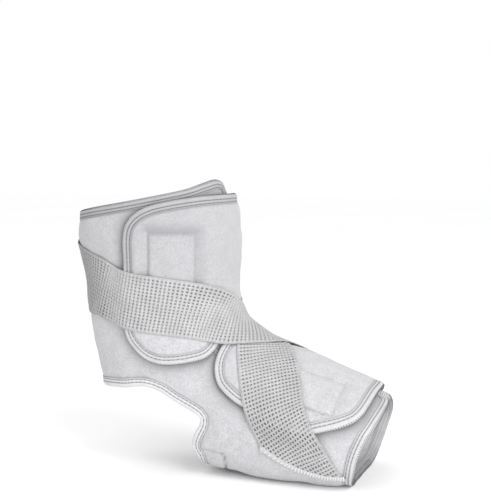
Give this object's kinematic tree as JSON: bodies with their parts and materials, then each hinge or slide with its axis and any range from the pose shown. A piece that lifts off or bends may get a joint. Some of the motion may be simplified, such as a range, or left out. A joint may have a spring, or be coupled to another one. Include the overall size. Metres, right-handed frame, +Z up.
{
  "type": "plantar fasciitis night splint",
  "caption": "Soft grey fleece ankle and foot wrap for the right foot, open at the toes and the heel, closed in front by bound flaps and crossed by woven webbing straps.",
  "frame": {"origin": "centre of the ankle, in the hollow of the splint", "axes": "+X towards the toes, -Y towards the outer side of the right foot, +Z up along the leg"},
  "size_m": [0.2194, 0.1135, 0.1936],
  "materials": {
    "fleece": "brushed loop fleece, matte",
    "edge_tape": "woven edge tape, matte",
    "webbing": "open woven webbing, matte"
  },
  "bodies": {
    "root": {"main_wrap": "fleece", "wrap_edge_binding": "edge_tape", "heel_opening_binding": "edge_tape", "leg_flap": "fleece", "leg_flap_binding": "edge_tape", "foot_flap": "fleece", "foot_flap_binding": "edge_tape", "foot_strap": "webbing", "ankle_strap": "webbing"}
  },
  "joints": []
}
